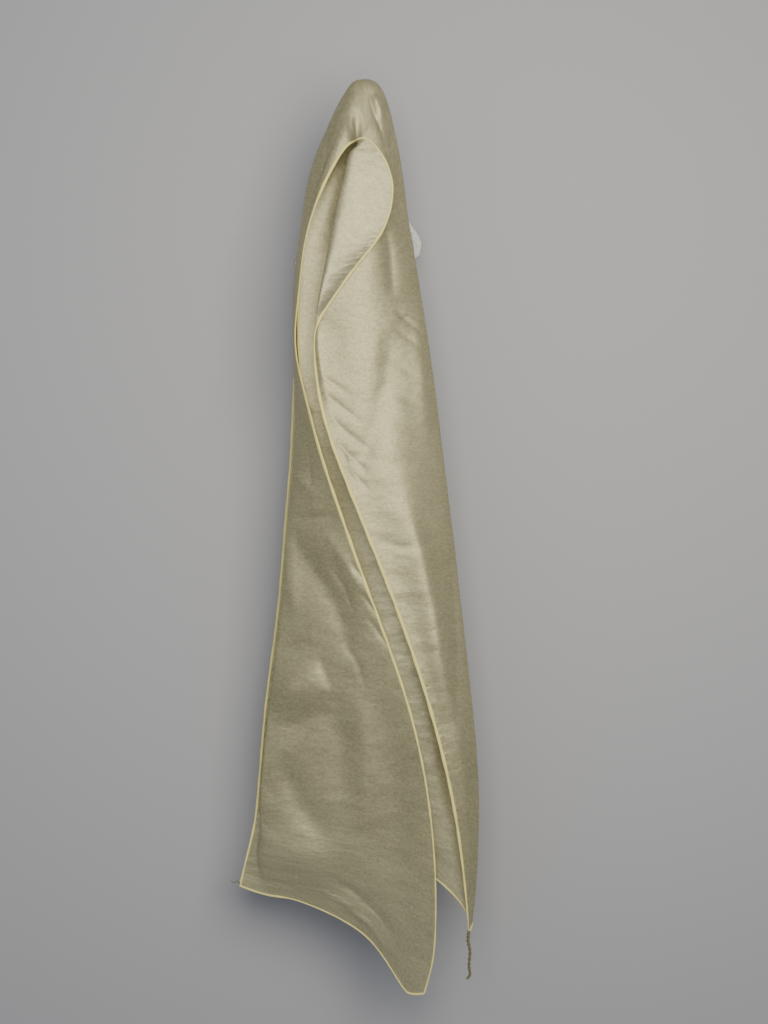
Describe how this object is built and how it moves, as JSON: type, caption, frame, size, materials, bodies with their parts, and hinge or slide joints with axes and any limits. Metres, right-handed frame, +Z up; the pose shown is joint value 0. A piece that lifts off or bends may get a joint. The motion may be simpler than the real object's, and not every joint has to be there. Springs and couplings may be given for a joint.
{
  "type": "scarf on wall hook",
  "caption": "Pale silk scarf draped over a clear wall hook, hanging in two overlapping falls with pale yellow edging",
  "frame": {"origin": "centre of the hook plate's flat back face, on the wall", "axes": "+Z up, +X to the viewer's right, +Y into the wall; the scarf stands out toward -Y"},
  "size_m": [0.1919, 0.0834, 0.7226],
  "materials": {
    "silk": "satin",
    "clear_plastic": "glossy"
  },
  "bodies": {
    "root": {"scarf_left_fall": "silk", "scarf_crown": "silk", "scarf_right_fall": "silk", "wall_hook": "clear_plastic"}
  },
  "joints": []
}
